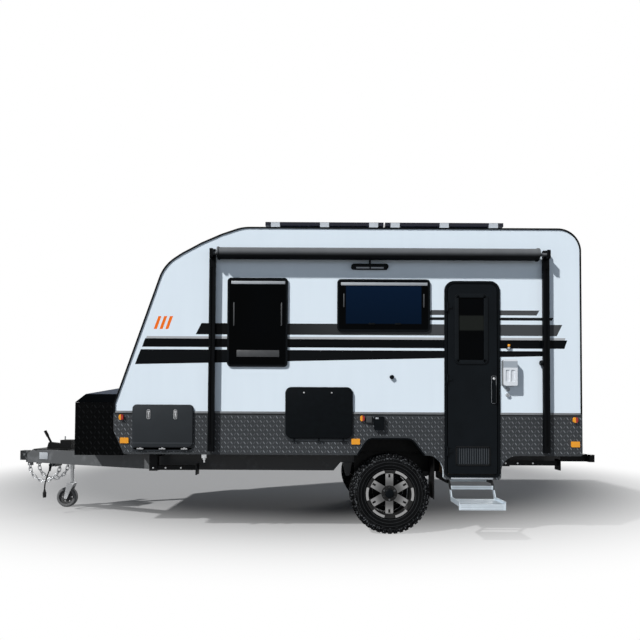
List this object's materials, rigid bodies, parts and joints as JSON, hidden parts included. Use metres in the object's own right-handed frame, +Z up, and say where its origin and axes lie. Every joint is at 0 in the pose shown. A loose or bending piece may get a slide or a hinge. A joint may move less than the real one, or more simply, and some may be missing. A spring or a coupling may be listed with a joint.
{
  "type": "travel caravan",
  "caption": "Single-axle towed travel caravan with white walls, dark tread plate skirt, side entry door, stowed awning, front box, drawbar and jockey wheel.",
  "frame": {"origin": "on the ground under the middle of the caravan's box", "axes": "+X rearwards along the caravan, +Y from the door side to the off side, +Z up"},
  "size_m": [6.278, 2.572, 3.162],
  "materials": {
    "wall": "gloss",
    "floor": "matte",
    "tread_plate": "satin",
    "moulding": "satin",
    "frame_black": "satin",
    "tinted": "gloss",
    "hatch_grey": "satin",
    "door_black": "satin",
    "awning_black": "satin",
    "white_plastic": "satin",
    "red_lens": "gloss",
    "amber_lens": "gloss",
    "solar": "gloss",
    "hatch_white": "satin",
    "chassis": "satin",
    "galvanised": "satin",
    "cord": "matte",
    "tyre": "matte",
    "alloy": "satin",
    "step_alloy": "satin",
    "jockey_rubber": "matte"
  },
  "bodies": {
    "caravan": {"side_wall_near": "wall", "side_wall_off": "wall", "front_wall": "wall", "roof_panel": "wall", "rear_wall": "wall", "floor_panel": "floor", "tread_plates": "tread_plate", "edge_mouldings": "moulding", "window_frames": "frame_black", "window_panes": "tinted", "hatch_frames": "hatch_grey", "door_frame": "frame_black", "awning_roller": "awning_black", "awning_arms": "awning_black", "outlet_box": "white_plastic", "wall_fittings": "frame_black", "marker_lamps": "red_lens", "reflectors": "amber_lens", "tail_lamps": "red_lens", "solar_panels": "solar", "solar_brackets": "white_plastic", "air_conditioner": "white_plastic", "hatch_bases": "white_plastic", "front_box": "tread_plate", "main_rails": "chassis", "cross_members": "chassis", "drawbar": "chassis", "tow_coupling": "galvanised", "handbrake": "frame_black", "safety_chains": "galvanised", "plug_lead": "cord", "plug": "frame_black", "axle": "chassis", "leaf_springs": "chassis", "mudguards": "frame_black", "step_runners": "chassis", "leg_brackets": "chassis", "rear_bumper": "chassis", "jockey_mount": "galvanised"},
    "wheel_near": {"tyre_near": "tyre", "rim_near": "alloy"},
    "wheel_off": {"tyre_off": "tyre", "rim_off": "alloy"},
    "door": {"entry_door": "door_black", "door_pane": "tinted", "door_handle": "frame_black"},
    "boot_lid_near": {"boot_door_near": "hatch_grey"},
    "boot_lid_off": {"boot_door_off": "hatch_grey"},
    "table": {"table_leaf": "frame_black"},
    "roof_lid_front": {"hatch_lid_front": "hatch_white"},
    "roof_lid_rear": {"hatch_lid_rear": "hatch_white"},
    "front_box_lid": {"box_lid": "tread_plate"},
    "entry_step": {"step": "step_alloy"},
    "leg_fn": {"leg_front_near": "chassis"},
    "leg_fo": {"leg_front_off": "chassis"},
    "leg_rn": {"leg_rear_near": "chassis"},
    "leg_ro": {"leg_rear_off": "chassis"},
    "jockey_leg": {"jockey_stem": "galvanised"},
    "jockey_castor": {"jockey_fork": "galvanised"},
    "jockey_tyre": {"jockey_wheel": "jockey_rubber"}
  },
  "joints": [
    {"name": "wheel_near_spin", "type": "hinge", "parent": "caravan", "child": "wheel_near", "pos_m": [1.049, -0.766, 0.388], "axis": [0, 1, 0], "continuous": true},
    {"name": "wheel_off_spin", "type": "hinge", "parent": "caravan", "child": "wheel_off", "pos_m": [1.049, 1.084, 0.388], "axis": [0, 1, 0], "continuous": true},
    {"name": "door_swing", "type": "hinge", "parent": "caravan", "child": "door", "pos_m": [1.587, -0.962, 1.5], "axis": [0, 0, -1], "range_deg": [0, 140]},
    {"name": "boot_near_drop", "type": "hinge", "parent": "caravan", "child": "boot_lid_near", "pos_m": [-1.142, -0.961, 0.82], "axis": [1, 0, 0], "range_deg": [0, 150]},
    {"name": "boot_off_drop", "type": "hinge", "parent": "caravan", "child": "boot_lid_off", "pos_m": [-1.142, 1.279, 0.82], "axis": [-1, 0, 0], "range_deg": [0, 150]},
    {"name": "table_drop", "type": "hinge", "parent": "caravan", "child": "table", "pos_m": [0.356, -0.961, 0.91], "axis": [1, 0, 0], "range_deg": [0, 90]},
    {"name": "roof_hatch_front_lift", "type": "hinge", "parent": "caravan", "child": "roof_lid_front", "pos_m": [0.372, 0.159, 3.006], "axis": [0, 1, 0], "range_deg": [0, 55]},
    {"name": "roof_hatch_rear_lift", "type": "hinge", "parent": "caravan", "child": "roof_lid_rear", "pos_m": [2.372, 0.159, 3.006], "axis": [0, 1, 0], "range_deg": [0, 55]},
    {"name": "front_box_lift", "type": "hinge", "parent": "caravan", "child": "front_box_lid", "pos_m": [-1.638, 0.159, 1.447], "axis": [0, 1, 0], "range_deg": [0, 70]},
    {"name": "step_slide", "type": "slide", "parent": "caravan", "child": "entry_step", "axis": [0, 1, 0], "range_m": [0, 0.3]},
    {"name": "leg_front_near_drop", "type": "hinge", "parent": "caravan", "child": "leg_fn", "pos_m": [-1.264, -0.811, 0.628], "axis": [0, 1, 0], "range_deg": [0, 90]},
    {"name": "leg_front_off_drop", "type": "hinge", "parent": "caravan", "child": "leg_fo", "pos_m": [-1.264, 1.129, 0.628], "axis": [0, 1, 0], "range_deg": [0, 90]},
    {"name": "leg_rear_near_drop", "type": "hinge", "parent": "caravan", "child": "leg_rn", "pos_m": [2.184, -0.811, 0.69], "axis": [0, 1, 0], "range_deg": [0, 90]},
    {"name": "leg_rear_off_drop", "type": "hinge", "parent": "caravan", "child": "leg_ro", "pos_m": [2.184, 1.129, 0.69], "axis": [0, 1, 0], "range_deg": [0, 90]},
    {"name": "jockey_wind", "type": "slide", "parent": "caravan", "child": "jockey_leg", "axis": [0, 0, 1], "range_m": [-0.1, 0.14]},
    {"name": "jockey_swivel", "type": "hinge", "parent": "jockey_leg", "child": "jockey_castor", "pos_m": [-2.701, 0.469, 0.29], "axis": [0, 0, 1], "continuous": true},
    {"name": "jockey_spin", "type": "hinge", "parent": "jockey_castor", "child": "jockey_tyre", "pos_m": [-2.756, 0.469, 0.122], "axis": [0, 1, 0], "continuous": true}
  ]
}
